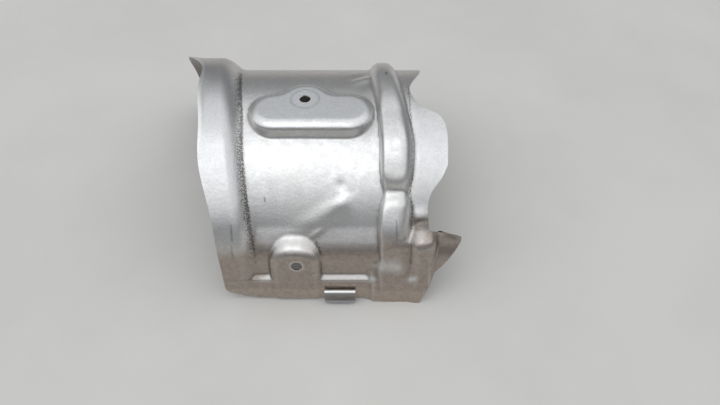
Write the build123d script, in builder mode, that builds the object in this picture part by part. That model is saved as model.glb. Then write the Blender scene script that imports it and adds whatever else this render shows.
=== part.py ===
"""Exhaust heat shield: one pressed sheet arch with a spring clip on its near edge. Millimetres, +Z up."""

import os
from math import acos, asin, cos, degrees, radians, sin, tan

from build123d import *

# Sheet and arch
SHEET = 1.0
ARCH_RADIUS = 88.0
AXIS_Y = 6.0
AXIS_Z = 3.0
ARCH_LEFT = -100.0
ARCH_RIGHT = 70.0
SKIRT_BELOW = 8.0

# Near side, as flat bands that each face a given way (degrees from level far, over the top)
SHOULDER_FACING = 131.0
SHOULDER_SINK = 3.2
WALL_FACING = 170.0
WALL_RISE = 3.0
JOGGLE = 3.2
LEDGE_TOP = 20.5
LEDGE_BOTTOM = 18.0
KINK_ROUND = 9.0
SHOULDER_ROUND = 8.0
LEDGE_ROUND = 2.0

# Raised collar at the left, with a slanting step down to the arch
COLLAR_RISE = 8.8
COLLAR_SHIFT_Y = 1.5
COLLAR_SHIFT_Z = -1.5
COLLAR_SLANT = 9.0
COLLAR_BROW = -87.0
COLLAR_SLOPE = 41.6
COLLAR_STEP = 20.0
COLLAR_ROUND = 10.0
COLLAR_LENGTH = 75.0
BROW_FACETS = 3

# Half-round bead at the right, pinched where it turns down the near side
BEAD_X = 20.8
BEAD_WIDTH = 21.5
BEAD_RISE = 5.7
BEAD_SHIFT = -1.0
BEAD_ARC = 140.0
BEAD_FACETS = 9
PINCH_ANGLE = 132.0
PINCH_RADIUS = 7.0
PINCH_RISE = 2.4

# Raised corner beside the bead and the low face under it, with their outlines as front points (X, Z)
CORNER_RISE = 4.2
CORNER_OUTLINE = ((31.5, -20), (31.5, 51), (48, 51), (48, -20))
FOOT_OUTLINE = ((4, -20), (4, 25), (46, 25), (46, -20))
CORNER_ROUND = 6.5

# Bolt pad on the crown
PAD_RISE = 4.0
PAD_LEFT = -70.5
PAD_RIGHT = 9.0
PAD_NEAR = -24.0
PAD_FAR = 7.0
SEAT_RADIUS = 15.0
SEAT_BLEND = 10.0
BOLT_HOLE = 7.2
UPPER_BOLT_X = -35.0
UPPER_BOLT_Y = 0.0

# Bolt boss low on the near wall, with its outline as front points (X, Z)
BOSS_RISE = 4.0
BOSS_OUTLINE = ((-57.5, -20), (-57.5, 46.5), (-24.5, 46.5), (-24.5, -20))
BOSS_ROUND = 11.0
LOWER_BOLT_X = -39.7
LOWER_BOLT_Z = 32.0

# Dart pressed across the bend under the crown, from its tip to its wide end
DART_TIP_X = -9.5
DART_TIP_ANGLE = 132.0
DART_TIP_SINK = 5.8
DART_TIP_RADIUS = 7.0
DART_END_X = -40.0
DART_END_ANGLE = 160.5
DART_END_SINK = 14.6
DART_END_RADIUS = 22.0

# Pressed faces: the wall's draft, its depth, and the tilt and height of each band of the rounded brow
DRAFT = 12.0
PAD_DEPTH = 15.0
WALL_PRESS_DEPTH = 24.0
LOW_BROW_TILT = 38.0
LOW_BROW_HEIGHT = 2.0
HIGH_BROW_TILT = 64.0
HIGH_BROW_HEIGHT = 1.0

# Edges of the sheet: plan points (X, Y) at the left and along the lip, front points (X, Z) elsewhere
CUT_REACH = 200.0
LEFT_EDGE = (
    (-133, 130),
    (-132, 90),
    (-126, 68),
    (-106, 32),
    (-103.6, 9),
    (-99, -24),
    (-97.5, -45),
    (-90, -70),
    (-87, -110),
)
LIP_EDGE = (
    (33, 130),
    (34.5, 90),
    (43, 54),
    (35.9, 28),
    (32.8, 17),
    (34.4, 6.7),
    (41.5, -3.5),
    (48.9, -8),
    (53.2, -15),
    (54.5, -27),
    (54, -41.2),
)
LIP_FOOT = ((54, 77.3), (50.2, 72.7), (44.7, 67.9), (41.7, 61.4), (41.9, 56.5))
TAIL = ((42.5, 50.5), (64.5, 47.0), (47.5, 24), (38.4, 1), (38, -4))
TAIL_ROUND = 2.0
NEAR_EDGE = ((-120, 22), (-90, 15), (-85, 8), (-68, 2.5), (2.5, 2.5), (4, 1.0), (30, 0), (60, 0))
NEAR_EDGE_ROUND = 1.0

# Spring clip
CLIP_LEFT = -23.0
CLIP_WIDTH = 20.0
CLIP_STRIP = 0.8
CLIP_LOOP = 2.8
CLIP_GAP = 0.05
CLIP_WAIST = 8.0
CLIP_HEIGHT = 12.0
CLIP_FLARE = 1.5
CLIP_BEND = 1.5
CLIP_TURN = 230.0

shoulder_reach = ARCH_RADIUS - SHOULDER_SINK
wall_reach = ARCH_RADIUS + WALL_RISE
pad_top = AXIS_Z + ARCH_RADIUS + PAD_RISE
brow_height = LOW_BROW_HEIGHT + HIGH_BROW_HEIGHT


def polar(angle, reach):
    """Point of the YZ section at an angle and a distance from the arch's axis."""
    return (AXIS_Y + reach * cos(radians(angle)), AXIS_Z + reach * sin(radians(angle)))


def on_band(facing, reach, height):
    """Point of the YZ section on a flat band of the near side at a given height."""
    rise = (height - AXIS_Z) * sin(radians(facing))
    return (AXIS_Y + (reach - rise) / cos(radians(facing)), height)


def band_corner(facing_a, reach_a, facing_b, reach_b):
    """Point of the YZ section where two flat bands meet."""
    a = radians(facing_a)
    b = radians(facing_b)
    y = (reach_a * sin(b) - reach_b * sin(a)) / sin(b - a)
    z = (reach_b * cos(a) - reach_a * cos(b)) / sin(b - a)
    return (AXIS_Y + y, AXIS_Z + z)


def wall_plane(reach):
    """Plane on the near wall, a given reach from the arch's axis, with its origin at floor level."""
    facing = radians(WALL_FACING)
    y, z = on_band(WALL_FACING, reach, 0)
    return Plane(origin=(0, y, z), x_dir=(1, 0, 0), z_dir=(0, cos(facing), sin(facing)))


def up_wall(height):
    """Distance up the sloping near wall to a given height."""
    return -height / cos(radians(WALL_FACING))


def bend_inset(inset, tilt_below, tilt_above):
    """How far a bend between two tilted bands draws in, and how far it sinks, a given depth inside the skin."""
    middle = radians((tilt_below + tilt_above) / 2)
    spread = radians((tilt_above - tilt_below) / 2)
    return (inset * cos(middle) / cos(spread), inset * sin(middle) / cos(spread))


def press(outline, inset, depth):
    """Carry a drafted wall down from its brow outline, and close the brow with two bands and a flat face."""
    low_sunk = bend_inset(inset, DRAFT, LOW_BROW_TILT)[1]
    middle_sunk = bend_inset(inset, LOW_BROW_TILT, HIGH_BROW_TILT)[1]
    extrude(outline, amount=-depth, taper=-DRAFT)
    band = extrude(outline, amount=LOW_BROW_HEIGHT - middle_sunk + low_sunk, taper=LOW_BROW_TILT)
    level = band.faces().sort_by_distance(outline.center() + outline.faces()[0].normal_at() * CUT_REACH)[0]
    extrude(level, amount=HIGH_BROW_HEIGHT - inset + middle_sunk, taper=HIGH_BROW_TILT)


def arch(inset):
    """The plain arch: a round crown and far wall, and a banded near wall with a joggled flange."""
    below = -SKIRT_BELOW
    start = degrees(asin((below - AXIS_Z) / ARCH_RADIUS))
    kink = SHOULDER_FACING + degrees(acos(shoulder_reach / ARCH_RADIUS))
    shoulder = band_corner(SHOULDER_FACING, shoulder_reach, WALL_FACING, wall_reach)
    flange_reach = wall_reach + JOGGLE
    ledge_in = on_band(WALL_FACING, wall_reach, LEDGE_TOP)
    ledge_out = on_band(WALL_FACING, flange_reach, LEDGE_BOTTOM)
    with BuildPart() as body:
        with BuildSketch(Plane.YZ.offset(ARCH_LEFT)) as section:
            with BuildLine():
                crown = CenterArc((AXIS_Y, AXIS_Z), ARCH_RADIUS, start, kink - start)
                foot = on_band(WALL_FACING, flange_reach, below)
                bands = Polyline(crown @ 1, shoulder, ledge_in, ledge_out, foot)
                Line(bands @ 1, crown @ 0)
            make_face()
            rounds = (
                (crown @ 1, KINK_ROUND),
                (shoulder, SHOULDER_ROUND),
                (ledge_in, LEDGE_ROUND),
                (ledge_out, LEDGE_ROUND),
            )
            for corner, radius in rounds:
                fillet(section.vertices().sort_by_distance(corner)[0], radius)
            offset(amount=-inset)
        extrude(amount=ARCH_RIGHT - ARCH_LEFT)
    return body.part


def collar_ring(x, radius):
    """Section of the collar on a slanting plane, through a given point of the collar's axis."""
    slant = radians(COLLAR_SLANT)
    across = Plane(
        origin=(x, AXIS_Y + COLLAR_SHIFT_Y, AXIS_Z + COLLAR_SHIFT_Z),
        x_dir=(-sin(slant), cos(slant), 0),
        z_dir=(cos(slant), sin(slant), 0),
    )
    with BuildSketch(across) as ring:
        Ellipse(radius / cos(slant), radius)
    return ring.sketch


def collar(inset):
    """The raised collar at the left: a straight crest, a round brow and a step that slants across the arch."""
    slope = radians(COLLAR_SLOPE)
    crest = ARCH_RADIUS + COLLAR_RISE
    centre_x = COLLAR_BROW - COLLAR_ROUND * tan(slope / 2)
    rings = [(COLLAR_BROW - COLLAR_LENGTH, crest - inset)]
    for part in range(BROW_FACETS + 1):
        turn = slope * part / BROW_FACETS
        bend = COLLAR_ROUND - inset
        rings.append((centre_x + bend * sin(turn), crest - COLLAR_ROUND + bend * cos(turn)))
    x, radius = rings[-1]
    rings.append((x + COLLAR_STEP * cos(slope), radius - COLLAR_STEP * sin(slope)))
    with BuildPart() as body:
        loft([collar_ring(x, radius) for x, radius in rings], ruled=True)
    return body.part


def bead(inset):
    """The half-round bead, as the faceted rim of a disc, with a pinch across it."""
    axis_point = (0, AXIS_Y + BEAD_SHIFT, AXIS_Z)
    bar = (BEAD_WIDTH**2 / 4 + BEAD_RISE**2) / (2 * BEAD_RISE)
    bar_centre = ARCH_RADIUS + BEAD_RISE - bar
    rim = []
    for part in range(BEAD_FACETS + 1):
        turn = radians(BEAD_ARC * (part / BEAD_FACETS - 1 / 2))
        rim.append((BEAD_X + (bar - inset) * sin(turn), bar_centre + (bar - inset) * cos(turn)))
    with BuildPart() as body:
        with BuildSketch(Plane(axis_point, x_dir=(1, 0, 0), z_dir=(0, -1, 0))):
            with BuildLine():
                Polyline((rim[0][0], 0), *rim, (rim[-1][0], 0), close=True)
            make_face()
        revolve(axis=Axis(axis_point, (1, 0, 0)))
        reach = ARCH_RADIUS + PINCH_RISE + PINCH_RADIUS
        with BuildSketch(Plane.YZ.offset(BEAD_X)):
            with Locations(polar(PINCH_ANGLE, reach)):
                Circle(PINCH_RADIUS + inset)
        extrude(amount=BEAD_WIDTH, both=True, mode=Mode.SUBTRACT)
    return body.part


def raised_wall(points, bend, rise, inset):
    """A raised face of the near wall with a given outline, open to the flange below."""
    drawn, sunk = bend_inset(inset, DRAFT, LOW_BROW_TILT)
    with BuildPart() as body:
        with BuildSketch(wall_plane(wall_reach + rise - brow_height - sunk)) as outline:
            with BuildLine():
                FilletPolyline([(x, up_wall(z)) for x, z in points], radius=bend, close=True)
            make_face()
            offset(amount=-drawn)
        press(outline.sketch, inset, WALL_PRESS_DEPTH)
    return body.part


def corner(inset):
    """The raised corner of the near wall, beside the bead."""
    return raised_wall(CORNER_OUTLINE, CORNER_ROUND, CORNER_RISE, inset)


def foot(inset):
    """The low raised face that the bead runs down into."""
    return raised_wall(FOOT_OUTLINE, CORNER_ROUND, CORNER_RISE, inset)


def pad(inset):
    """The flat bolt pad on the crown: a slot outline with a round seat at the bolt hole."""
    drawn, sunk = bend_inset(inset, DRAFT, LOW_BROW_TILT)
    with BuildPart() as body:
        with BuildSketch(Plane.XY.offset(pad_top - brow_height - sunk)) as outline:
            with Locations(((PAD_LEFT + PAD_RIGHT) / 2, (PAD_NEAR + PAD_FAR) / 2)):
                SlotOverall(PAD_RIGHT - PAD_LEFT - 2 * drawn, PAD_FAR - PAD_NEAR - 2 * drawn)
            with Locations((UPPER_BOLT_X, UPPER_BOLT_Y)):
                Circle(SEAT_RADIUS - drawn)
            meets = outline.vertices().sort_by_distance((UPPER_BOLT_X, PAD_FAR))[:2]
            fillet(meets, SEAT_BLEND + drawn)
        press(outline.sketch, inset, PAD_DEPTH)
    return body.part


def boss(inset):
    """The bolt boss low on the near wall."""
    return raised_wall(BOSS_OUTLINE, BOSS_ROUND, BOSS_RISE, inset)


def dart(inset):
    """The dart pressed across the bend under the crown, as a cone that widens down the near side."""
    tip = Vector(DART_TIP_X, *polar(DART_TIP_ANGLE, ARCH_RADIUS - DART_TIP_SINK))
    end = Vector(DART_END_X, *polar(DART_END_ANGLE, ARCH_RADIUS - DART_END_SINK))
    with BuildPart(Plane(origin=tip, z_dir=end - tip)) as body:
        Cone(
            DART_TIP_RADIUS - inset,
            DART_END_RADIUS - inset,
            (end - tip).length,
            align=(Align.CENTER, Align.CENTER, Align.MIN),
        )
    return body.part


def form(inset):
    """The whole pressed form as a solid, a given depth inside the sheet's outer skin."""
    with BuildPart() as body:
        for feature in (arch, collar, bead, corner, foot, pad, boss, dart):
            add(feature(inset))
    return body.part


def left_waste():
    """What is cut away beyond the left edge, as seen from above."""
    with BuildPart() as waste:
        with BuildSketch(Plane.XY.offset(-CUT_REACH)):
            with BuildLine():
                edge = Spline(LEFT_EDGE)
                Polyline(edge @ 1, (-CUT_REACH, LEFT_EDGE[-1][1]), (-CUT_REACH, LEFT_EDGE[0][1]), edge @ 0)
            make_face()
        extrude(amount=2 * CUT_REACH)
    return waste.part


def right_waste():
    """What is cut away beyond the right edge: the lip from above, then the lip's foot and tail from the front."""
    with BuildPart() as waste:
        with BuildSketch(Plane.XY.offset(-CUT_REACH)):
            with BuildLine():
                lip = Spline(LIP_EDGE)
                Polyline(lip @ 1, (CUT_REACH, LIP_EDGE[-1][1]), (CUT_REACH, LIP_EDGE[0][1]), lip @ 0)
            make_face()
        extrude(amount=2 * CUT_REACH)
        with BuildSketch(Plane.XZ.offset(-LIP_EDGE[-1][1])):
            with BuildLine():
                foot = Spline(LIP_FOOT)
                tail = FilletPolyline(foot @ 1, *TAIL, radius=TAIL_ROUND)
                Polyline(tail @ 1, (CUT_REACH, TAIL[-1][1]), (CUT_REACH, LIP_FOOT[0][1]), foot @ 0)
            make_face()
        extrude(amount=CUT_REACH)
    return waste.part


def bottom_waste():
    """What is cut away below the edges: level at the far side, and shaped along the near flange."""
    with BuildPart() as waste:
        Box(4 * CUT_REACH, 4 * CUT_REACH, CUT_REACH, align=(Align.CENTER, Align.CENTER, Align.MAX))
        with BuildSketch(Plane.XZ):
            with BuildLine():
                edge = FilletPolyline(NEAR_EDGE, radius=NEAR_EDGE_ROUND)
                Polyline(edge @ 1, (NEAR_EDGE[-1][0], -CUT_REACH), (NEAR_EDGE[0][0], -CUT_REACH), edge @ 0)
            make_face()
        extrude(amount=CUT_REACH)
    return waste.part


with BuildPart() as heat_shield:
    add(form(0))
    add(form(SHEET), mode=Mode.SUBTRACT)
    for waste in (left_waste, right_waste, bottom_waste):
        add(waste(), mode=Mode.SUBTRACT)
    with Locations(Plane.XY.offset(pad_top)):
        with Locations((UPPER_BOLT_X, UPPER_BOLT_Y)):
            Hole(BOLT_HOLE / 2, depth=PAD_DEPTH)
    with Locations(wall_plane(wall_reach + BOSS_RISE)):
        with Locations((LOWER_BOLT_X, up_wall(LOWER_BOLT_Z))):
            Hole(BOLT_HOLE / 2, depth=PAD_DEPTH)

facing = radians(WALL_FACING)
flange_middle = on_band(WALL_FACING, wall_reach + JOGGLE - SHEET / 2, 0)
clip_end = Plane(
    origin=(CLIP_LEFT + CLIP_WIDTH, *flange_middle),
    x_dir=(0, cos(facing), sin(facing)),
    z_dir=(-1, 0, 0),
)
with BuildPart() as edge_clip:
    with BuildSketch(clip_end):
        with BuildLine() as spring:
            grip = SHEET / 2 + CLIP_GAP + CLIP_STRIP / 2
            loop_out = CLIP_LOOP - grip
            loop_up = -(CLIP_LOOP + CLIP_STRIP / 2 - loop_out * sin(facing)) / cos(facing)
            loop = CenterArc((loop_out, loop_up), CLIP_LOOP, 180, CLIP_TURN)
            Line((-grip, CLIP_HEIGHT), loop @ 0)
            Polyline(loop @ 1, (grip, CLIP_WAIST), (grip + CLIP_FLARE, CLIP_HEIGHT))
            bends = spring.vertices().sort_by_distance((grip, CLIP_WAIST))[0]
            fillet(bends, CLIP_BEND)
            offset(amount=CLIP_STRIP / 2, side=Side.BOTH)
        make_face()
    extrude(amount=CLIP_WIDTH)

whole = heat_shield.part.bounding_box().add(edge_clip.part.bounding_box())
middle = whole.center()
os.makedirs("parts", exist_ok=True)
for piece, name in ((heat_shield, "heat_shield"), (edge_clip, "edge_clip")):
    piece.part.position = (-middle.X, -middle.Y, -whole.min.Z)
    piece.part.label = name
    export_step(piece.part, f"parts/{name}.step")
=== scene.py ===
"""Looks of the exhaust heat shield: a pressed, aluminised sheet with a clip on its near edge."""

from math import radians, tan

import bpy
import numpy as np
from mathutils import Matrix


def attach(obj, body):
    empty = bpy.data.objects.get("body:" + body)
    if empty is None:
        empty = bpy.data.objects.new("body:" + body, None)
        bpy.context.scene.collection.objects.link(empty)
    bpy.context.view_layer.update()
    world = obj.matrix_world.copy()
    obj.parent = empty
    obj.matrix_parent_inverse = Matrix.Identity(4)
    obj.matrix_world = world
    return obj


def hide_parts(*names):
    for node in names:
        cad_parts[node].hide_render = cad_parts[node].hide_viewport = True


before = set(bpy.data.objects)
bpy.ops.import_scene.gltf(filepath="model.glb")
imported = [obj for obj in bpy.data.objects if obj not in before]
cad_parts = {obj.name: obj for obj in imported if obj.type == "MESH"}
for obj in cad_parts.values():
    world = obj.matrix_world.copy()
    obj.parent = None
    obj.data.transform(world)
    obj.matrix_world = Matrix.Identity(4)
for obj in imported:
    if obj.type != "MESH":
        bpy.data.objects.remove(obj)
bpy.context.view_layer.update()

# The sheet's sizes, in millimetres about the arch, and the arch's place in the part's own frame.
# Angles lie about the arch's axis: 0 at the far side, 90 at the crown and 180 at the near side.
PLACE = (35.3626, -5.0556, 0.0)
SHEET = 1.0
ARCH_RADIUS, AXIS_Y, AXIS_Z = 88.0, 6.0, 3.0
LEAST_RADIUS, NO_LIMIT = 40, 200.0
SHOULDER_FACING, SHOULDER_REACH, SHOULDER_BLEND = radians(138.5), 86.95, 0.3
WALL_FACING, WALL_REACH, WALL_BLEND = radians(170.0), 91.0, 5.0
LEDGE_TOP, LEDGE_BOTTOM, JOGGLE, LEDGE_BLEND = 20.5, 18.0, 3.2, 0.9
WALL_FROM, LEDGE_FROM, FOOT_FROM = radians(125), radians(140), radians(150)
COLLAR_RADIUS, COLLAR_SHIFT, COLLAR_ROUND = 96.8, (1.5, -1.5), 3.6
COLLAR_SLANT, COLLAR_SLOPE, COLLAR_BROW = radians(9.0), radians(41.6), -87.0
COLLAR_FULLER, FULLER_RISE, FULLER_FALL = 2.4, (122, 147), (152, 168)
BEAD_X, BEAD_WIDTH, BEAD_RADIUS, BEAD_SHIFT = 20.8, 21.5, 93.7, (-1.0, 0.0)
BEAD_SHARE, BEAD_NARROWER, BEAD_LEAN, BEAD_BOW = 0.95, 0.07, 5.0, 1.2
BEAD_SQUARE, LEFT_SQUARER, RIGHT_ROUNDER, LEFT_TIGHTER = 3.2, 6.8, 0.7, 1.06
PINCH_ANGLE, PINCH_DEPTH, PINCH_SPAN, WAIST = 133.2, 3.3, 3.4, 0.13
LOBE_ANGLE, LOBE_SPAN, LOBE_RISE = 149.0, 8.5, 1.9
NECK_ANGLE, NECK_SPAN, NECK_FALL = 164.0, 4.0, 1.2
LEVEL_RISE = 2.9
CORNER_REACH, CORNER_BEND, CORNER_DOME, DOME_SPAN = 96.0, 7.8, 1.2, 8.0
CORNER_LEFT, CORNER_RIGHT, CORNER_TOP = 31.5, 48.0, 51.0
FOOT_LEFT, FOOT_RIGHT, FOOT_TOP = 5.0, 46.0, 33.0
FOOT_FLARE, FOOT_END, FOOT_SIDE = 5.0, 30.0, 6.0
WEB_SIDES, WEB_TOP, WEB_REACH = (17.0, 42.0), 47.0, 91.7
WEB_BLEND, FOOT_BLEND = 4.0, 3.5
PAD_TOP, PAD_LEFT, PAD_RIGHT, PAD_NEAR, PAD_FAR = 95.0, -70.5, 9.0, -25.0, 8.2
PAD_FACING, PAD_HALF_ANGLE = radians(95), radians(40)
SEAT_RADIUS, SEAT_BLEND, UPPER_BOLT = 18.0, 7.0, (-35.0, 0.0)
BOSS_REACH, BOSS_BEND = 95.0, 14.5
BOSS_LEFT, BOSS_RIGHT, BOSS_TOP = -57.5, -24.5, 44.0
LOWER_BOLT = (-39.7, 32.0)
BOLT_HOLE = 7.2
BEVEL_HEIGHT, DRAFT_RISE, PRESS_SOFT = 2.8, 4.2, 2.5
PAD_BEVEL, PAD_DRAFT, PAD_SOFT = 3.0, 8.0, 3.0
COLLAR_BLEND, BEAD_CORNER_BLEND, BEAD_BLEND, RAISED_BLEND = 2.0, 5.0, 1.3, 1.6
DART_ANGLE, DART_LENGTH, DART_RISE = 136.0, 11.0, 0.95
NOSE_ANGLE, NOSE_RISE, DIMPLE_ANGLE, DIMPLE_DEPTH = 138.2, 0.75, 130.4, 0.7
WAVE_RISE, WRINKLE_RISE, FOLD_RISE = 0.25, 0.8, 0.5
RECESS_RISE, RECESS_BROW = 1.8, 1.4
RIM_FOLD = 1.1
RAY_LOW, RAY_HIGH, RAY_HALVINGS = 60.0, 125.0, 22

CLIP_LEFT, CLIP_WIDTH, CLIP_STRIP, CLIP_STAND_OFF = -23.0, 20.0, 0.8, 0.45
CLIP_HEIGHT, CLIP_LOOP, CLIP_LOOP_RISE, CLIP_LIP = 12.0, 2.8, 2.92, 1.5
CLIP_WAIST = ((3.6, 5.6), (2.8, 7.0), (1.9, 8.4))
CLIP_LIP_CENTRE, CLIP_STATIONS = (2.9, 9.85), 25

# Edges of the sheet: plan points (X, Y) for the left edge and lip, front points (X, Z) elsewhere
LEFT_EDGE = (
    (-133, 130),
    (-132, 90),
    (-126, 68),
    (-106, 32),
    (-103.6, 9),
    (-99, -24),
    (-97.5, -45),
    (-90, -70),
    (-87, -110),
)
LIP_EDGE = (
    (33, 130),
    (34.5, 90),
    (43, 54),
    (35.9, 28),
    (32.8, 17),
    (34.4, 6.7),
    (41.5, -3.5),
    (48.9, -8),
    (53.2, -15),
    (54.5, -27),
    (54, -41.2),
)
LIP_FOOT = ((54, 77.3), (50.2, 72.7), (44.7, 67.9), (41.7, 61.4), (41.9, 56.5))
TAIL = ((42.5, 50.5), (62.2, 47.4), (62.9, 46.6), (62.6, 45.0), (47.5, 24), (38.4, 1), (38, -8))
NEAR_EDGE = ((-120, 22), (-90, 15), (-85, 8), (-68, 2.5), (2.5, 2.5), (4, 1.0), (30, 0), (70, 0))

# Rows run round the arch from its far edge to its near edge, in degrees, and columns from its left
# edge to its right edge, by way of two lines along the collar (place, first guess of X) and four
# plain ones
ROW_STOPS = (-2, 15, 58, 74, 116, 146, 157, 167.2, 172.6, 180.3)
ROW_COUNTS = (10, 24, 20, 54, 40, 20, 16, 24, 14)
COLUMN_COUNTS = (24, 26, 24, 32, 28, 40, 28)
COLLAR_LINES = ((-93.5, -90.0), (-75.0, -76.0))
PLAIN_LINES = (-52.0, -20.0, 7.5, 31.6)
LEFT_GUESS, RIGHT_GUESS, LEAST_RIGHT = -100.0, 48.0, 32.5

# Marks on the sheet, as strokes between two pixels of the picture, each with its width and depth:
# dark scratches and painted shade in folds, a stroke of dark flecks, and painted glints
CREASE = -77.4
SCRATCHES_AND_SHADE = (
    ((231, 226), (232, 241), 0.8, 0.6),
    ((231.5, 246), (232.5, 259), 0.7, 0.5),
    ((396.5, 221), (397, 240), 0.7, 0.5),
    ((386, 72.5), (386.4, 73.6), 0.9, 0.8),
    ((264.6, 198), (265, 202), 0.8, 0.7),
    # Painted shade: the corner's top edge, the folds of the recess beside the bead, under the
    # tail's top edge
    ((416, 226.5), (430, 225), 1.0, 0.75),
    ((418, 220.5), (428, 221), 3.4, 0.65),
    ((417, 229.5), (429, 228), 2.4, 0.6),
    ((413, 206), (415, 224), 1.8, 0.55),
    ((443, 233), (455, 238), 2.2, 0.45),
    ((415, 225), (430, 224.5), 4.0, 0.72),
)
FLECKS = ((316, 243), (321, 254), 2.2)
# Painted glints: spots where the painted brown tint is lifted, at the ledges' ends, the lobe's foot
# and the corner's brow
PAINTED_GLINTS = (
    ((382, 266), (397, 267), 6.0, 0.65),
    ((421, 232), (416, 241), 4.0, 0.35),
    ((369.5, 279), (373.5, 279), 2.6, 0.95),
    ((409.5, 279.5), (414.5, 279), 2.8, 0.85),
    ((262, 279.5), (267, 279), 2.4, 0.6),
)

# The camera, about the arch: its place, its tilt from straight down, and its lens in pixels
CAMERA, CAMERA_TILT, LENS = (0.0, -279.6, 325.6), radians(40.0), 560.0
PICTURE_WIDTH, PICTURE_HEIGHT, SENSOR = 720, 405, 36.0

# Colours of the sheet under its coats, then each coat as a mask, its share and its colour
PLAIN_STEEL, PALE_STEEL = (0.685, 0.685, 0.69), (0.785, 0.79, 0.80)
CLOUDED_STEEL = (0.70, 0.695, 0.685)
COATS = (
    ("outer", 0.5, (0.59, 0.595, 0.61)),
    # seat: a washer's print at each bolt hole, and a painted highlight on the pad's flat top
    ("seat", 0.6, (0.80, 0.83, 0.87)),
    # far: painted shade and brown reflection on the far side, which faces away
    ("far", 0.5, (0.54, 0.49, 0.44)),
    # low: painted brown reflection and shade low on the near side
    ("low", 0.92, (0.385, 0.325, 0.278)),
    ("hem", 0.35, (0.62, 0.53, 0.45)),
    # hollow: painted shade in hollows and on the pad's wall and the bead's flank; crest: painted
    # highlight over crests
    ("hollow", 0.30, (0.24, 0.225, 0.21)),
    ("crest", 0.25, (0.85, 0.85, 0.85)),
    # rim: painted highlight round the bolt holes and along the left edge
    ("rim", 0.6, (0.86, 0.86, 0.86)),
)
# Specks, grain, and a smear that mottles the painted brown tint low down
SPECK, GRAIN, LOW_SMEAR = (0.42, 0.42, 0.42), (0.6, 0.59, 0.58), (0.6, 0.575, 0.55)
# Rust, dark marks with painted shade, and painted shade for the sheet's inner face
RUST, SCRATCH_AND_SHADE, INSIDE_SHADE = (0.13, 0.117, 0.104), (0.10, 0.095, 0.09), (0.13, 0.11, 0.09)
# Broken rust: a mask, the levels between which its specks show, and its weight over the specks
RUSTED = (
    ("crease", 0.60, 0.66, 0.30),
    ("bead_foot", 0.67, 0.74, 0.22),
    ("flecks", 0.66, 0.70, 0.22),
)
SPRING_DARK, SPRING_PALE = (0.37, 0.335, 0.30), (0.48, 0.45, 0.42)
# A painted bluish reflection on the clip's fold and a painted highlight on its rolled lip
SPRING_FOLD_REFLECTION, SPRING_LIP_HIGHLIGHT = (0.40, 0.44, 0.47), (0.64, 0.65, 0.64)
FLOOR_DARK, FLOOR_PALE, FLOOR_HALF = (0.60, 0.59, 0.57), (0.64, 0.63, 0.61), 4

# The world is brightest overhead: its stretch, its brightest direction, and its levels of light
SKY_STRETCH, SKY_TOP, SKY_COLOUR = (0.45, 1.0, 1.0), (-0.06, -0.09, 0.99), (0.97, 0.985, 1.0, 1)
SKY_FROM, SKY_TO, SKY_LOW, SKY_HIGH = 0.37, 0.88, 0.16, 1.12
# One weak, broad key light, in metres and degrees
KEY_PLACE, KEY_TURN, KEY_SIZE, KEY_POWER = (-0.25, -0.35, 1.2), (14, -10, 0), (0.9, 0.7), 1.6


def smooth_max(a, b, blend):
    """The larger of two heights, rounded off where they are nearer to each other than the blend."""
    share = np.clip(0.5 + 0.5 * (a - b) / blend, 0, 1)
    return b + (a - b) * share + blend * share * (1 - share)


def smooth_min(a, b, blend):
    return -smooth_max(-a, -b, blend)


def hump(distance, span):
    """A soft hump, 1 at its middle and about 0 two spans away."""
    return np.exp(-((distance / span) ** 2))


def step(low, high, value):
    """A soft step from 0 at low to 1 at high."""
    t = np.clip((value - low) / (high - low), 0, 1)
    return t * t * (3 - 2 * t)


def between(rise, fall, value):
    """1 between two soft steps: up over the span rise, and down over the span fall."""
    return step(*rise, value) * (1 - step(*fall, value))


def band(angle, facing, reach):
    """Distance along each ray to a flat band of the near side."""
    return reach / np.maximum(np.cos(angle - facing), 0.05)


def ledge_points():
    """The two bends of the joggle, about the arch's axis."""
    points = []
    for reach, height in ((WALL_REACH, LEDGE_TOP), (WALL_REACH + JOGGLE, LEDGE_BOTTOM)):
        rise = height - AXIS_Z
        points.append(((reach - rise * np.sin(WALL_FACING)) / np.cos(WALL_FACING), rise))
    return points


def arch(angle):
    """The plain section: round crown, flat shoulder, near wall, joggle and flange."""
    crown = np.full_like(angle, ARCH_RADIUS)
    shoulder = band(angle, SHOULDER_FACING, SHOULDER_REACH)
    shoulder = np.where(angle > SHOULDER_FACING, shoulder, 0.0)
    wall = np.where(angle > WALL_FROM, band(angle, WALL_FACING, WALL_REACH), NO_LIMIT)
    flange = np.where(angle > WALL_FROM, band(angle, WALL_FACING, WALL_REACH + JOGGLE), NO_LIMIT)
    (in_y, in_z), (out_y, out_z) = ledge_points()
    normal_y, normal_z = out_z - in_z, in_y - out_y
    facing = np.cos(angle) * normal_y + np.sin(angle) * normal_z
    ledge = (in_y * normal_y + in_z * normal_z) / np.maximum(facing, 0.3)
    ledge = np.where(angle > LEDGE_FROM, ledge, 0.0)
    height = smooth_max(crown, shoulder, SHOULDER_BLEND)
    height = smooth_min(height, wall, WALL_BLEND)
    height = smooth_max(height, ledge, LEDGE_BLEND)
    return smooth_min(height, flange, LEDGE_BLEND)


def about(angle, shift, radius):
    """Distance along each ray to a circle whose centre is shifted from the arch's axis."""
    along = shift[0] * np.cos(angle) + shift[1] * np.sin(angle)
    return along + np.sqrt(np.maximum(radius**2 - shift[0] ** 2 - shift[1] ** 2 + along**2, 0))


def collar_place(x, y):
    """Where a point lies along the collar, whose step slants across the arch."""
    return x + tan(COLLAR_SLANT) * (y - AXIS_Y - COLLAR_SHIFT[0])


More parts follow.
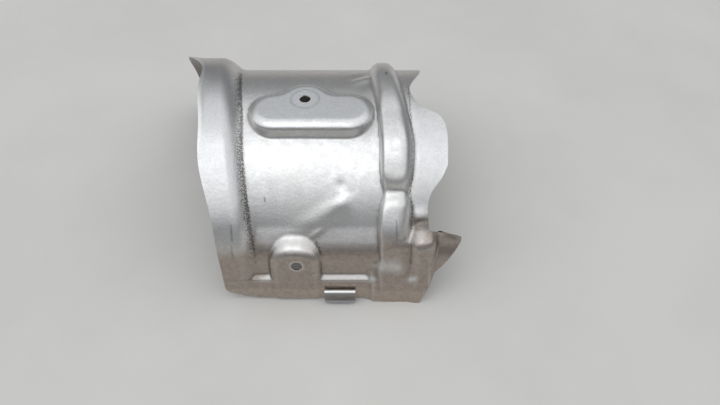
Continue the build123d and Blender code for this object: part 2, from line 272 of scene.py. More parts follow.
def collar(x, angle):
    """The flared collar, a little fuller low on its near side."""
    reach = np.full_like(angle, COLLAR_RADIUS)
    for _ in range(3):
        place = collar_place(x, AXIS_Y + reach * np.cos(angle))
        fall = COLLAR_RADIUS - tan(COLLAR_SLOPE) * (place - COLLAR_BROW)
        crest = smooth_min(np.full_like(angle, COLLAR_RADIUS), fall, COLLAR_ROUND)
        reach = about(angle, COLLAR_SHIFT, np.maximum(crest, LEAST_RADIUS))
    return reach + COLLAR_FULLER * between(FULLER_RISE, FULLER_FALL, np.degrees(angle))


def waist(degrees):
    """How much narrower the bead is at its pinch, as a share of its width."""
    return WAIST * hump(degrees - PINCH_ANGLE, PINCH_SPAN)


def bead(x, angle):
    """The bead: squarer on its left, pinched on its near side, with a fuller lobe below."""
    degrees = np.degrees(angle)
    wide = BEAD_SHARE - BEAD_NARROWER * (1 - step(78, 104, degrees)) - waist(degrees)
    lean = BEAD_LEAN * (1 - step(66, 108, degrees))
    bow = BEAD_BOW * step(98, 116, degrees)
    middle = BEAD_X - lean + bow - BEAD_BOW * step(134, 146, degrees)
    across = np.abs(x - middle) / (wide * BEAD_WIDTH / 2)
    across = across * np.where(x < middle, LEFT_TIGHTER, 1.0)
    left = BEAD_SQUARE + LEFT_SQUARER * step(86, 106, degrees)
    right = BEAD_SQUARE - RIGHT_ROUNDER * step(136, 141, degrees)
    crest = BEAD_RADIUS - (BEAD_RADIUS - ARCH_RADIUS) * across ** np.where(x < middle, left, right)
    pinch_span = PINCH_SPAN * (0.9 + 0.5 * across**2)
    pinch = PINCH_DEPTH * hump(degrees - PINCH_ANGLE, pinch_span)
    lobe = LOBE_RISE * hump(degrees - LOBE_ANGLE, LOBE_SPAN)
    lobe -= NECK_FALL * hump(degrees - NECK_ANGLE, NECK_SPAN)
    level = LEVEL_RISE * step(99, 115, degrees) * (1 - step(113, 131, degrees))
    radius = np.maximum(crest - pinch + lobe + level, LEAST_RADIUS)
    return about(angle, BEAD_SHIFT, radius)


def pressed(distance, bevel=BEVEL_HEIGHT, soft=PRESS_SOFT, draft=DRAFT_RISE):
    """How far a pressed face falls away at a distance outside its brow."""
    fall = smooth_max(np.zeros_like(distance), distance + bevel, soft)
    return smooth_max(fall, bevel + draft * distance, soft)


def rounded(x, y, radius):
    """Distance outside a quarter-plane with a round corner."""
    over_x, over_y = np.maximum(x + radius, 0), np.maximum(y + radius, 0)
    return np.hypot(over_x, over_y) + np.minimum(np.maximum(x, y) + radius, 0) - radius


def along_rays(angle, proud):
    """Distance along each ray to where it leaves a face; proud(y, z) is above 0 outside it."""
    low, high = np.full_like(angle, RAY_LOW), np.full_like(angle, RAY_HIGH)
    for _ in range(RAY_HALVINGS):
        reach = (low + high) / 2
        outside = proud(AXIS_Y + reach * np.cos(angle), AXIS_Z + reach * np.sin(angle)) > 0
        low, high = np.where(outside, low, reach), np.where(outside, reach, high)
    return (low + high) / 2


def off_wall(y, z):
    """Distance of a point from the arch's axis, square to the near wall."""
    return (y - AXIS_Y) * np.cos(WALL_FACING) + (z - AXIS_Z) * np.sin(WALL_FACING)


def raised_wall(x, angle, sides, top, bend, reach, dome=0.0):
    """A raised face of the near wall with round upper corners; dome rounds its upper front."""
    side = np.abs(x - (sides[0] + sides[1]) / 2) - (sides[1] - sides[0]) / 2
    across = (x - sides[0] - (sides[1] - sides[0]) / 4) / DOME_SPAN

    def proud(y, z):
        bowed = dome * across**2 * step(LEDGE_BOTTOM - 4, LEDGE_BOTTOM + 18, z)
        return off_wall(y, z) - reach + bowed + pressed(rounded(side, z - top, bend))

    return np.where(angle > WALL_FROM, along_rays(angle, proud), 0.0)


def corner(x, angle):
    """The raised corner beside the bead, the web to the bead's lobe, and the flare at its foot."""
    sides = (CORNER_LEFT, CORNER_RIGHT)
    high = raised_wall(x, angle, sides, CORNER_TOP, CORNER_BEND, CORNER_REACH, CORNER_DOME)
    beside = step(FOOT_LEFT - 4, FOOT_LEFT + 4, x) * (1 - step(FOOT_RIGHT - 2, FOOT_RIGHT + 2, x))

    def proud(y, z):
        fall = FOOT_FLARE * step(LEDGE_BOTTOM - 4, FOOT_TOP, z)
        fall = fall + FOOT_END * step(FOOT_TOP - 3, FOOT_TOP + 6, z)
        return off_wall(y, z) - CORNER_REACH + fall + FOOT_SIDE * (1 - beside)

    foot = np.where(angle > FOOT_FROM, along_rays(angle, proud), 0.0)
    web = raised_wall(x, angle, WEB_SIDES, WEB_TOP, CORNER_BEND, WEB_REACH)
    return smooth_max(smooth_max(high, web, WEB_BLEND), foot, FOOT_BLEND)


def off_slot(run, y):
    """Distance outside the pad's slot, from the run past the centre of its round end."""
    return np.hypot(run, y - (PAD_FAR + PAD_NEAR) / 2) - (PAD_FAR - PAD_NEAR) / 2


def pad(x, angle):
    """The slot-shaped pad with its round bolt seat."""
    radius = (PAD_FAR - PAD_NEAR) / 2
    middle, half = (PAD_LEFT + PAD_RIGHT) / 2, (PAD_RIGHT - PAD_LEFT) / 2
    run = np.maximum(np.abs(x - middle) - half + radius, 0)

    def proud(y, z):
        seat = np.hypot(x - UPPER_BOLT[0], y - UPPER_BOLT[1]) - SEAT_RADIUS
        outside = smooth_min(off_slot(run, y), seat, SEAT_BLEND)
        return z - PAD_TOP + pressed(outside, PAD_BEVEL, PAD_SOFT, PAD_DRAFT)

    return np.where(np.abs(angle - PAD_FACING) < PAD_HALF_ANGLE, along_rays(angle, proud), 0.0)


def boss(x, angle):
    return raised_wall(x, angle, (BOSS_LEFT, BOSS_RIGHT), BOSS_TOP, BOSS_BEND, BOSS_REACH)


def dent(x, angle):
    """The dart across the bend, the dimple above its nose, and shallow waves and folds."""
    degrees = np.degrees(angle)
    # The dart: a ridge that runs down and to the left, widening
    along = np.clip((degrees - DART_ANGLE) / DART_LENGTH, -0.4, 1.4)
    ridge = -10.0 - 20.0 * along
    width = 4.2 + 4.0 * np.maximum(along, 0)
    across = np.where(x > ridge, (x - ridge) / (1.25 * width), (x - ridge) / (1.5 * width))
    fade = between((132.5, 139.0), (145, 154), degrees)
    lift = DART_RISE * np.exp(-(across**2)) * fade
    # Its nose, and the dimple above it
    down = (degrees - NOSE_ANGLE) * np.where(degrees > NOSE_ANGLE, 0.85, 1.5)
    lift += NOSE_RISE * hump(np.hypot(x + 9.6, down), 5.2)
    above = (degrees - DIMPLE_ANGLE) * 1.5
    lift -= DIMPLE_DEPTH * hump(np.hypot(x + 12.0, above), 3.0)
    # Waves below the pad, and wrinkles beside the bead's far end
    wave = np.sin(x / 17.0 + 0.8) * np.sin(degrees / 9.0 + x / 60.0)
    lift += WAVE_RISE * wave * step(98, 112, degrees) * (1 - step(140, 147, degrees))
    wrinkle = (x - 3.0) * 0.62 + (degrees - 72.0) * 1.5 * 0.78
    wrinkled = hump(x - 2.0, 8.0) * hump(degrees - 75.0, 6.0)
    lift += WRINKLE_RISE * np.sin(wrinkle / 2.6) * wrinkled
    # A small fold beside the boss
    below, beside = (degrees - 149.75) * 1.536, x + 26.5
    crossing, run = beside * 0.61 + below * 0.79, beside * 0.79 - below * 0.61
    lift += FOLD_RISE * hump(crossing, 1.7) * hump(run, 5.5)
    # The sheet rises to the right of the bead, at the recess
    lift += RECESS_RISE * step(142.0, 150.0, degrees) * step(28.0, 36.0, x)
    lift += RECESS_BROW * hump(x - 37.0, 5.5) * hump(degrees - 143.2, 3.0)
    return lift


def along_line(line, value):
    """X of an edge line where its second coordinate, which falls along it, has a value."""
    return np.interp(-value, -line[:, 1], line[:, 0])


def rim_fold(x, y):
    """The left edge turns up a little, along a fold that leaves it towards the far side."""
    width = 3.5 + 6.5 * step(-15.0, 50.0, y)
    inward = (x - along_line(left_line, y)) / width
    return RIM_FOLD * (1 - step(0.0, 1.0, inward)) * step(-40.0, 5.0, y)


def skin(x, angle):
    """Distance along each ray from the arch's axis to the sheet's outer face."""
    height = smooth_max(arch(angle) + dent(x, angle), collar(x, angle), COLLAR_BLEND)
    raised = smooth_max(bead(x, angle), corner(x, angle), BEAD_CORNER_BLEND)
    height = smooth_max(height, raised, BEAD_BLEND)
    height = smooth_max(height, pad(x, angle), RAISED_BLEND)
    height = smooth_max(height, boss(x, angle), RAISED_BLEND)
    return height + rim_fold(x, AXIS_Y + height * np.cos(angle))


def curve_through(points, count=600):
    """A smooth curve through a few points (a natural cubic spline), as a fine polyline."""
    points = np.array(points, float)
    place = np.concatenate(([0], np.cumsum(np.hypot(*np.diff(points, axis=0).T))))
    n = len(points)
    gap = np.diff(place)
    matrix = np.eye(n)
    right = np.zeros((n, 2))
    for i in range(1, n - 1):
        matrix[i, i - 1 : i + 2] = gap[i - 1], 2 * (gap[i - 1] + gap[i]), gap[i]
        ahead, behind = points[i + 1] - points[i], points[i] - points[i - 1]
        right[i] = 6 * (ahead / gap[i] - behind / gap[i - 1])
    bend = np.linalg.solve(matrix, right)
    fine = np.linspace(0, place[-1], count)
    k = np.clip(np.searchsorted(place, fine) - 1, 0, n - 2)
    a = ((place[k + 1] - fine) / gap[k])[:, None]
    b = 1 - a
    bow = ((a**3 - a) * bend[k] + (b**3 - b) * bend[k + 1]) * (gap[k] ** 2 / 6)[:, None]
    return a * points[k] + b * points[k + 1] + bow


left_line = curve_through(LEFT_EDGE)
lip_line = curve_through(LIP_EDGE)
foot_line = np.concatenate((curve_through(LIP_FOOT, 60), np.array(TAIL, float)))


def fine_steps(counts):
    """Steps 0 to 1 within each stretch, as (stretch, share) for every line of the grid."""
    lines = [(k, i / count) for k, count in enumerate(counts) for i in range(count)]
    return lines + [(len(counts) - 1, 1.0)]


def left_edge(angle, x):
    return along_line(left_line, AXIS_Y + skin(x, angle) * np.cos(angle))


def right_edge(angle, x):
    reach = skin(x, angle)
    y = AXIS_Y + reach * np.cos(angle)
    z = AXIS_Z + reach * np.sin(angle)
    below_lip = (y < LIP_EDGE[-1][1]) & (angle > radians(90))
    return np.where(below_lip, along_line(foot_line, z), along_line(lip_line, y))


def slanted(angle, place, x):
    """The line along the sheet that lies at one place along the collar."""
    for _ in range(3):
        y = AXIS_Y + skin(x, angle) * np.cos(angle)
        x = place - tan(COLLAR_SLANT) * (y - AXIS_Y - COLLAR_SHIFT[0])
    return x


def lay_grid():
    """Places of the grid's lines over the sheet, as X and angle for every point."""
    rows = fine_steps(ROW_COUNTS)
    columns = fine_steps(COLUMN_COUNTS)
    stops = np.radians(np.array(ROW_STOPS, float))
    angle = np.array([stops[k] + (stops[k + 1] - stops[k]) * t for k, t in rows])
    left = np.full_like(angle, LEFT_GUESS)
    right = np.full_like(angle, RIGHT_GUESS)
    for _ in range(8):
        left = left_edge(angle, left)
        right = 0.5 * right + 0.5 * right_edge(angle, right)
    lines = [left]
    lines += [slanted(angle, place, np.full_like(angle, guess)) for place, guess in COLLAR_LINES]
    lines += [np.full_like(angle, place) for place in PLAIN_LINES]
    lines += [np.maximum(right, LEAST_RIGHT)]
    x = np.stack([lines[k] + (lines[k + 1] - lines[k]) * t for k, t in columns], axis=1)
    angle = np.repeat(angle[:, None], x.shape[1], axis=1)
    near_edge = np.array(NEAR_EDGE, float)
    first, last = ROW_COUNTS[0], len(rows) - 1 - ROW_COUNTS[-1]
    for _ in range(5):
        reach = skin(x[-1], angle[-1])
        rise = np.interp(x[-1], near_edge[:, 0], near_edge[:, 1]) - AXIS_Z
        low = np.pi - np.arcsin(rise / reach)
        share = np.array([t for k, t in rows[last:]])[:, None]
        angle[last:] = angle[last] + (low - angle[last]) * share
        far = np.arcsin(-AXIS_Z / skin(x[0], angle[0]))
        share = np.array([t for k, t in rows[:first]])[:, None]
        angle[:first] = far + (angle[first] - far) * share
    return x, angle


def to_points(x, angle):
    reach = skin(x, angle)
    return np.stack([x, AXIS_Y + reach * np.cos(angle), AXIS_Z + reach * np.sin(angle)], axis=-1)


def grid_normals(points):
    across = np.gradient(points, axis=1)
    along = np.gradient(points, axis=0)
    normal = np.cross(along, across)
    normal /= np.maximum(np.linalg.norm(normal, axis=-1, keepdims=True), 1e-9)
    outward = points - np.array([0, AXIS_Y, AXIS_Z])
    outward[..., 0] = 0
    flip = np.sign(np.sum(normal * outward, axis=-1, keepdims=True))
    return normal * np.where(flip == 0, 1, flip)


def wall_frame():
    """The near wall's outward and upward directions."""
    out = np.array([0, np.cos(WALL_FACING), np.sin(WALL_FACING)])
    return out, np.array([0, out[2], -out[1]])


def wall_foot(reach):
    """Y at the ground of a plane along the near wall, at a distance from the arch's axis."""
    return AXIS_Y + (reach + AXIS_Z * np.sin(WALL_FACING)) / np.cos(WALL_FACING)


def hole_places():
    """Centre of each bolt hole, and two directions across it."""
    _, up = wall_frame()
    across = np.array([1.0, 0, 0])
    upper = np.array([*UPPER_BOLT, PAD_TOP])
    lower = np.array([LOWER_BOLT[0], wall_foot(BOSS_REACH), 0]) + up * LOWER_BOLT[1] / up[2]
    return [(upper, across, np.array([0, 1.0, 0])), (lower, across, up)]


def around_hole(points, centre, u, v):
    """Distance of points from a hole's axis, and which of them lie near its plane."""
    away = points - centre
    return np.hypot(away @ u, away @ v), np.abs(away @ np.cross(u, v)) < 2


def build_shield():
    """The sheet: an outer grid of quads, the same grid one thickness inside, and rims between."""
    x, angle = lay_grid()
    points = to_points(x, angle)
    normals = grid_normals(points)
    rows, columns = x.shape
    keep = np.ones((rows - 1, columns - 1), bool)
    middles = (points[1:, 1:] + points[:-1, 1:] + points[1:, :-1] + points[:-1, :-1]) / 4
    for centre, across, up in hole_places():
        reach, flat = around_hole(middles, centre, across, up)
        cut = (reach < BOLT_HOLE / 2) & flat
        keep &= ~cut
        touched = np.zeros((rows, columns), int)
        for i in (0, 1):
            for j in (0, 1):
                touched[i : rows - 1 + i, j : columns - 1 + j] += cut
        # Points round the hole move to even places on its circle
        rim = (touched > 0) & (touched < 4)
        offset = points - centre
        u, v = offset @ across, offset @ up
        turn = np.arctan2(v[rim], u[rim])
        order = np.argsort(turn)
        even = np.empty_like(turn)
        even[order] = np.arange(len(turn)) * 2 * np.pi / len(turn)
        even += np.angle(np.mean(np.exp(1j * (turn - even))))
        circle = np.cos(even)[:, None] * across + np.sin(even)[:, None] * up
        points[rim] = centre + circle * BOLT_HOLE / 2
        normals[rim] = np.cross(across, up)
    inner = points - normals * SHEET
    inner[..., 2] = np.maximum(inner[..., 2], 0)
    count = rows * columns
    number = np.arange(count).reshape(rows, columns)
    corners = (number[:-1, :-1], number[:-1, 1:], number[1:, 1:], number[1:, :-1])
    quads = np.stack(corners, axis=-1)[keep].tolist()
    edges = {}
    for quad in quads:
        for a, b in zip(quad, quad[1:] + quad[:1]):
            if (b, a) in edges:
                del edges[(b, a)]
            else:
                edges[(a, b)] = True
    faces = [tuple(q) for q in quads]
    faces += [tuple(v + count for v in reversed(q)) for q in quads]
    faces += [(b, a, a + count, b + count) for a, b in edges]
    verts = np.concatenate([points.reshape(-1, 3), inner.reshape(-1, 3)])
    worn = wear_masks(x, angle, points, normals)
    masks = {name: np.tile(values.reshape(-1), 2) for name, values in worn.items()}
    # The inner face takes painted shade in the material
    masks["inside"] = np.repeat([0.0, 1.0], count)
    return verts, faces, masks


def in_picture(points):
    """Where points fall in the camera's picture, in pixels."""
    away = points - np.array(CAMERA)
    depth = away[..., 1] * np.sin(CAMERA_TILT) - away[..., 2] * np.cos(CAMERA_TILT)
    rise = away[..., 1] * np.cos(CAMERA_TILT) + away[..., 2] * np.sin(CAMERA_TILT)
    across = PICTURE_WIDTH / 2 + LENS * away[..., 0] / depth
    return across, PICTURE_HEIGHT / 2 - LENS * rise / depth


def stroke(across, down, start, end, width):
    """A soft stroke between two pixels of the picture."""
    run = np.array(end, float) - np.array(start, float)
    off_x, off_y = across - start[0], down - start[1]
    share = np.clip((off_x * run[0] + off_y * run[1]) / (run @ run), 0, 1)
    return hump(np.hypot(off_x - share * run[0], off_y - share * run[1]), width)


def bending(points, normals):
    """How sharply the sheet bends at each point: above 0 over a crest, below 0 in a hollow."""
    total = np.zeros(points.shape[:2])
    for axis in (0, 1):
        ahead, behind = np.roll(points, -1, axis) - points, points - np.roll(points, 1, axis)
        long_ahead = np.maximum(np.linalg.norm(ahead, axis=-1), 0.05)
        long_behind = np.maximum(np.linalg.norm(behind, axis=-1), 0.05)
        turn = ahead / long_ahead[..., None] - behind / long_behind[..., None]
        total -= 2 * np.sum(turn * normals, axis=-1) / (long_ahead + long_behind)
    total[[0, -1]] = 0
    total[:, [0, -1]] = 0
    for axis in (0, 1, 0, 1):
        total = (np.roll(total, 1, axis) + 2 * total + np.roll(total, -1, axis)) / 4
    return total


def painted_low_tint_mask(x, degrees, on_collar, normals, across, down):
    """Painted brown reflection and shade low down, lighter on up-facing ledges and at painted
    glints.
    """
    low = step(145 + 5 * on_collar, 160, degrees)
    low = np.maximum(low, step(10, 14, x) * step(146, 154, degrees))
    low = np.maximum(low, step(31, 34, x) * step(141, 145, degrees))
    low *= 1 - 0.65 * between((-63, -58), (29, 33), x) * step(0.45, 0.75, normals[..., 2])
    # Painted glints lift the painted brown tint
    for start, end, width, depth in PAINTED_GLINTS:
        low *= 1 - depth * stroke(across, down, start, end, width)
    return np.maximum(low, step(44.0, 47.0, x) * step(140, 146, degrees))


def wear_masks(x, angle, points, normals):
    """Marks, stains and painted shade and highlights, from 0 to 1, and up to 1.5 on the collar."""
    degrees = np.degrees(angle)
    y, z = points[..., 1], points[..., 2]
    across, down = in_picture(points)
    seen = step(50, 58, degrees)
    place = collar_place(x, y)
    on_collar = 1 - step(-8.0, -3.0, place - CREASE)
    # Rust in the collar's crease, and along the right foot of the bead
    beside = CREASE - 2.2 * step(100, 122, degrees) - place
    crease = np.where(beside > 0, np.exp(-beside / 1.9), hump(beside, 0.6))
    crease = crease * (1 - step(152, 167, degrees)) * step(58, 78, degrees)
    right_wall = x - BEAD_X - BEAD_WIDTH / 2 - 0.6
    right_wall += BEAD_WIDTH / 2 * waist(degrees)
    bead_foot = np.where(right_wall < 0, hump(right_wall, 1.1), hump(right_wall, 0.6))
    bead_foot *= between((72, 90), (147, 153), degrees)
    # Dark scratches, and painted shade in folds, as strokes in the picture
    marks_and_shade = np.zeros_like(x)
    for start, end, width, depth in SCRATCHES_AND_SHADE:
        marks_and_shade = np.maximum(marks_and_shade, depth * stroke(across, down, start, end, width))
    # Shade on the pad's near wall, round its right end and on the bead's right flank
    on_pad = between((PAD_LEFT - 9, PAD_LEFT - 6), (PAD_RIGHT + 5, PAD_RIGHT + 8), x)
    pad_wall = on_pad * between((98, 102), (118, 121), degrees)
    pad_wall = pad_wall * (1 - step(0.4, 0.7, normals[..., 2]))
    beyond = off_slot(np.maximum(x - PAD_RIGHT + (PAD_FAR - PAD_NEAR) / 2, 0), y)
    pad_end = hump(beyond - 1.5, 3.0) * step(PAD_RIGHT - 14, PAD_RIGHT - 2, x)
    flank = step(0.3, 0.6, normals[..., 0]) * hump(right_wall + 2.0, 3.5)
    flank *= between((88, 104), (133, 138), degrees)
    shade = np.maximum(np.maximum(0.9 * pad_wall, pad_end), flank)
    # A washer's print at each bolt hole, the lower print fainter, and a painted highlight round
    # each hole
    seat, rim = np.zeros_like(x), np.zeros_like(x)
    for (centre, u, v), imprint in zip(hole_places(), (1.0, 0.35)):
        reach, flat = around_hole(points, centre, u, v)
        seat += imprint * flat * (1 - step(8.0, 9.0, reach))
        marks_and_shade = np.maximum(marks_and_shade, 0.3 * imprint * flat * hump(reach - 8.9, 0.6))
        rim += flat * hump(reach - BOLT_HOLE / 2, 0.8)
    # A painted highlight on the pad's flat top
    pad_top_highlight = on_pad * (np.abs(z - PAD_TOP) < 0.5) * step(0.93, 0.98, normals[..., 2])
    # Painted highlight over crests and painted shade in hollows, from how the sheet bends
    bend = bending(points, normals)
    # A painted highlight along the left edge
    left_rim_highlight = (1 - step(1.6, 2.6, x - along_line(left_line, y))) * step(-45.0, -10.0, y)
    greyer = 1.5 * on_collar * (1 - step(128, 142, degrees))
    return {
        "crease": crease,
        "bead_foot": bead_foot,
        "low": painted_low_tint_mask(x, degrees, on_collar, normals, across, down),
        "hem": step(174.4, 176.0, degrees),
        "outer": np.maximum(greyer, step(33.0, 38.0, x)),
        # Painted shade on the far side
        "far": 1 - step(58, 86, degrees),
        "marks_and_shade": marks_and_shade * seen,
        "flecks": stroke(across, down, *FLECKS) * seen,
        "crest": np.clip((bend - 0.04) / 0.35, 0, 1),
        "hollow": np.maximum(np.clip((-bend - 0.03) / 0.30, 0, 1), shade),
        "seat": np.maximum(seat, 0.6 * pad_top_highlight),
        "rim": rim + left_rim_highlight,
    }


def arc(centre, radius, start, end, count):
    turn = np.radians(np.linspace(start, end, count))
    across, rise = centre[0] + radius * np.cos(turn), centre[1] + radius * np.sin(turn)
    return np.stack([across, rise], axis=-1)


def build_clip():
    """The spring clip: a strip folded round the flange, with a lip rolled out on its near leg."""
    grip = SHEET / 2 + CLIP_STAND_OFF
    rear_leg = np.stack([np.full(10, -grip), np.linspace(CLIP_HEIGHT, 3.4, 10)], axis=-1)
    loop = arc((CLIP_LOOP - grip, CLIP_LOOP_RISE), CLIP_LOOP, 180, 388, 30)
    lip_roll = arc(CLIP_LIP_CENTRE, CLIP_LIP, 196, 10, 18)
    path = np.concatenate((rear_leg, loop, np.array(CLIP_WAIST), lip_roll))
    along = np.gradient(path, axis=0)
    along /= np.linalg.norm(along, axis=1, keepdims=True)
    square = np.stack([along[:, 1], -along[:, 0]], axis=-1)
    half_strip = CLIP_STRIP / 2
    section = np.concatenate((path + half_strip * square, (path - half_strip * square)[::-1]))
    stations = np.linspace(-1, 1, CLIP_STATIONS)
    out, up = wall_frame()
    foot = np.array([0, wall_foot(WALL_REACH + JOGGLE - SHEET / 2), 0])
    verts = []
    for s in stations:
        # The fold's ends are a little higher and narrower than its middle
        rise = 1.2 * np.abs(s) ** 4 * np.clip(1 - section[:, 1] / 6.0, 0, 1)
        draw = 1 - 0.03 * np.clip(1 - section[:, 1] / 5.0, 0, 1)
        base = foot + section[:, :1] * out + (section[:, 1] + rise)[:, None] * up
        base[:, 0] = CLIP_LEFT + CLIP_WIDTH * (0.5 + 0.5 * s * draw)
        verts.append(base)
    verts = np.array(verts)
    verts[..., 2] = np.maximum(verts[..., 2], 0)
    count = len(section)
    faces = []
    for i in range(len(stations) - 1):
        here, there = i * count, (i + 1) * count
        for j in range(count):
            k = (j + 1) % count
            faces.append((here + j, there + j, there + k, here + k))
    for i, turned in ((0, False), (len(stations) - 1, True)):
        first, last = i * count, i * count + count - 1
        for j in range(count // 2 - 1):
            cap = (first + j, first + j + 1, last - 1 - j, last - j)
            faces.append(cap[::-1] if turned else cap)
    height = np.tile(section[:, 1], len(stations))
    reach = np.tile(section[:, 0], len(stations))
    # Where the material paints a highlight on the rolled lip
    lip = step(8.3, 9.2, height) * (reach > 0.5)
    # Where the material paints a bluish reflection on the fold
    fold = 1 - step(2.0, 5.0, height)
    return verts.reshape(-1, 3), faces, {"lip": lip, "fold": fold}


def make_piece(name, verts, faces, masks, sharp):
    """A piece with its masks as point attributes, smooth but for edges sharper than an angle."""
    mesh = bpy.data.meshes.new(name)
    mesh.from_pydata([tuple((v + np.array(PLACE)) / 1000) for v in verts], [], faces)
    mesh.update()
    for label, values in masks.items():
        attribute = mesh.attributes.new(label, "FLOAT", "POINT")
        attribute.data.foreach_set("value", values.astype(np.float32))
    piece = bpy.data.objects.new(name, mesh)
    bpy.context.scene.collection.objects.link(piece)
    mesh.polygons.foreach_set("use_smooth", np.ones(len(mesh.polygons), bool))
    mesh.set_sharp_from_angle(angle=radians(sharp))
    return piece


def node(tree, kind, **values):
    """A new node; each value goes to its property or input of that name."""
    made = tree.nodes.new(kind)
    for name, value in values.items():
        if hasattr(made, name):
            setattr(made, name, value)
        else:
            made.inputs[name].default_value = value
    return made


def mixed(tree, factor, a, b, blend="MIX"):
    """A colour mix: factor is a socket, and a and b are sockets or colours."""
    made = node(tree, "ShaderNodeMix", data_type="RGBA", blend_type=blend)
    tree.links.new(factor, made.inputs["Factor"])
    for value, socket in ((a, made.inputs[6]), (b, made.inputs[7])):
        if isinstance(value, tuple):
            socket.default_value = (*value, 1)
        else:
            tree.links.new(value, socket)
    return made.outputs[2]


def ramp(tree, value, low, high, start=0.0, end=1.0, kind="SMOOTHSTEP"):
    """A value's way from low to high, as a number from start to end."""
    made = node(tree, "ShaderNodeMapRange", interpolation_type=kind)
    tree.links.new(value, made.inputs["Value"])
    made.inputs["From Min"].default_value = low
    made.inputs["From Max"].default_value = high
    made.inputs["To Min"].default_value = start
    made.inputs["To Max"].default_value = end
    return made.outputs["Result"]


def times(tree, a, b):
    """The product of a socket and another socket or a number."""
    made = node(tree, "ShaderNodeMath", operation="MULTIPLY")
    tree.links.new(a, made.inputs[0])
    if isinstance(b, float):
        made.inputs[1].default_value = b
    else:
        tree.links.new(b, made.inputs[1])
    return made.outputs[0]


def noise(tree, place, scale, detail=4.0, roughness=0.6):
    made = node(tree, "ShaderNodeTexNoise", Scale=scale, Detail=detail, Roughness=roughness)
    tree.links.new(place, made.inputs["Vector"])
    return made.outputs["Fac"]


def mask(tree, name):
    return node(tree, "ShaderNodeAttribute", attribute_name=name).outputs["Fac"]


def new_material(name):
    """A material, with its node tree, its shader and the object's own coordinates."""
    material = bpy.data.materials.new(name)
    material.use_nodes = True
    tree = material.node_tree
    place = node(tree, "ShaderNodeTexCoord").outputs["Object"]
    return material, tree, tree.nodes["Principled BSDF"], place


def steel_material():
    material, tree, shader, place = new_material("aluminised_sheet")
    mottle = noise(tree, place, 190.0, 5.0)
    cloud = noise(tree, place, 28.0, 3.0)
    speck = noise(tree, place, 1300.0, 2.0)
    grain = noise(tree, place, 820.0, 2.0)
    smear = noise(tree, place, 330.0, 5.0, 0.7)
    colour = mixed(tree, ramp(tree, mottle, 0.35, 0.68), PLAIN_STEEL, PALE_STEEL)
    colour = mixed(tree, ramp(tree, cloud, 0.35, 0.75), colour, CLOUDED_STEEL)
    for name, share, coat in COATS:
        colour = mixed(tree, times(tree, mask(tree, name), share), colour, coat)
    specks = times(tree, ramp(tree, speck, 0.60, 0.72), 0.35)
    colour = mixed(tree, specks, colour, SPECK)
    grains = times(tree, ramp(tree, grain, 0.42, 0.66), 0.2)
    colour = mixed(tree, grains, colour, GRAIN, "MULTIPLY")
    # A smear mottles the painted brown reflection and shade low down
    low_smear = times(tree, ramp(tree, smear, 0.4, 0.7), mask(tree, "low"))
    colour = mixed(tree, times(tree, low_smear, 0.45), colour, LOW_SMEAR, "MULTIPLY")
    for name, low, high, weight in RUSTED:
        worn = node(tree, "ShaderNodeMath", operation="MULTIPLY_ADD")
        tree.links.new(mask(tree, name), worn.inputs[0])
        worn.inputs[1].default_value = weight
        tree.links.new(speck, worn.inputs[2])
        within = ramp(tree, mask(tree, name), 0.04, 0.2)
        rust = times(tree, ramp(tree, worn.outputs[0], low, high), within)
        colour = mixed(tree, times(tree, rust, 0.85), colour, RUST)
    # Dark scratches and painted shade in folds
    colour = mixed(tree, mask(tree, "marks_and_shade"), colour, SCRATCH_AND_SHADE)
    # Painted shade on the sheet's inner face
    colour = mixed(tree, times(tree, mask(tree, "inside"), 0.8), colour, INSIDE_SHADE)
    tree.links.new(colour, shader.inputs["Base Color"])
    shader.inputs["Metallic"].default_value = 0.85
    rough = ramp(tree, mottle, 0.3, 0.7, 0.37, 0.28, "LINEAR")
    tree.links.new(rough, shader.inputs["Roughness"])
    bump = node(tree, "ShaderNodeBump", Strength=0.2, Distance=0.0006)
    tree.links.new(noise(tree, place, 560.0, 6.0), bump.inputs["Height"])
    tree.links.new(bump.outputs["Normal"], shader.inputs["Normal"])
    return material


def spring_material():
    material, tree, shader, place = new_material("spring_strip")
    streak = node(tree, "ShaderNodeMapping")
    streak.inputs["Scale"].default_value = (90.0, 1400.0, 1400.0)
    tree.links.new(place, streak.inputs["Vector"])
    grain = noise(tree, streak.outputs["Vector"], 1.0, 4.0)
    colour = mixed(tree, ramp(tree, grain, 0.3, 0.7), SPRING_DARK, SPRING_PALE)
    # A painted bluish reflection on the fold
    colour = mixed(tree, mask(tree, "fold"), colour, SPRING_FOLD_REFLECTION)
    # A painted highlight on the rolled lip
    colour = mixed(tree, mask(tree, "lip"), colour, SPRING_LIP_HIGHLIGHT)
    tree.links.new(colour, shader.inputs["Base Color"])
    shader.inputs["Metallic"].default_value = 1.0
    rough = ramp(tree, grain, 0.0, 1.0, 0.22, 0.36, "LINEAR")
    tree.links.new(rough, shader.inputs["Roughness"])
    return material


def floor_material():
    material, tree, shader, place = new_material("pale_floor")
    patches = ramp(tree, noise(tree, place, 6.0), 0.3, 0.7)
    colour = mixed(tree, patches, FLOOR_DARK, FLOOR_PALE)
    tree.links.new(colour, shader.inputs["Base Color"])
    shader.inputs["Roughness"].default_value = 0.8
    return material


def make_floor():
    mesh = bpy.data.meshes.new("floor")
    half = FLOOR_HALF
    corners = [(-half, -half, 0), (half, -half, 0), (half, half, 0), (-half, half, 0)]
    mesh.from_pydata(corners, [], [(0, 1, 2, 3)])
    mesh.materials.append(floor_material())
    made = bpy.data.objects.new("floor", mesh)
    bpy.context.scene.collection.objects.link(made)
    return made


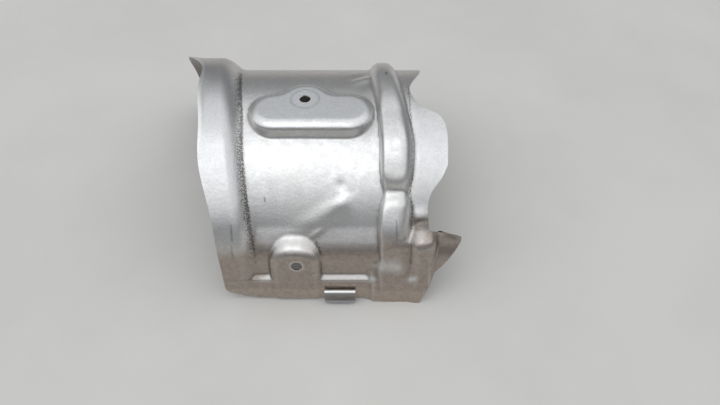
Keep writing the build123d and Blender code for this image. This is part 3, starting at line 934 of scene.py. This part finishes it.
def add_key_light():
    light = bpy.data.lights.new("key", "AREA")
    light.shape = "RECTANGLE"
    light.size, light.size_y = KEY_SIZE
    light.energy = KEY_POWER
    lamp = bpy.data.objects.new("key", light)
    lamp.location = KEY_PLACE
    lamp.rotation_euler = [radians(v) for v in KEY_TURN]
    bpy.context.scene.collection.objects.link(lamp)


def add_world():
    """A soft sky, brightest overhead and wider from left to right."""
    world = bpy.data.worlds.new("studio")
    world.use_nodes = True
    tree = world.node_tree
    wide = node(tree, "ShaderNodeVectorMath", operation="MULTIPLY")
    tree.links.new(node(tree, "ShaderNodeTexCoord").outputs["Generated"], wide.inputs[0])
    wide.inputs[1].default_value = SKY_STRETCH
    unit = node(tree, "ShaderNodeVectorMath", operation="NORMALIZE")
    tree.links.new(wide.outputs["Vector"], unit.inputs[0])
    overhead = node(tree, "ShaderNodeVectorMath", operation="DOT_PRODUCT")
    tree.links.new(unit.outputs["Vector"], overhead.inputs[0])
    overhead.inputs[1].default_value = SKY_TOP
    level = ramp(tree, overhead.outputs["Value"], SKY_FROM, SKY_TO, SKY_LOW, SKY_HIGH)
    back = tree.nodes["Background"]
    tree.links.new(level, back.inputs["Strength"])
    back.inputs["Color"].default_value = SKY_COLOUR
    bpy.context.scene.world = world


def add_camera():
    camera = bpy.data.objects.new("camera", bpy.data.cameras.new("camera"))
    camera.data.lens = LENS * SENSOR / PICTURE_WIDTH
    camera.data.sensor_width = SENSOR
    camera.location = [(place + shift) / 1000 for place, shift in zip(CAMERA, PLACE)]
    camera.rotation_euler = (CAMERA_TILT, 0, 0)
    camera.data.clip_start = 0.01
    bpy.context.scene.collection.objects.link(camera)
    bpy.context.scene.camera = camera


shield = make_piece("pressed_shield", *build_shield(), sharp=50)
shield.data.materials.append(steel_material())
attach(shield, "root")
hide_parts("heat_shield")

clip = make_piece("spring_clip", *build_clip(), sharp=40)
clip.data.materials.append(spring_material())
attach(clip, "root")
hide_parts("edge_clip")

floor = make_floor()

add_key_light()
add_world()
add_camera()
bpy.context.scene.view_settings.view_transform = "Standard"
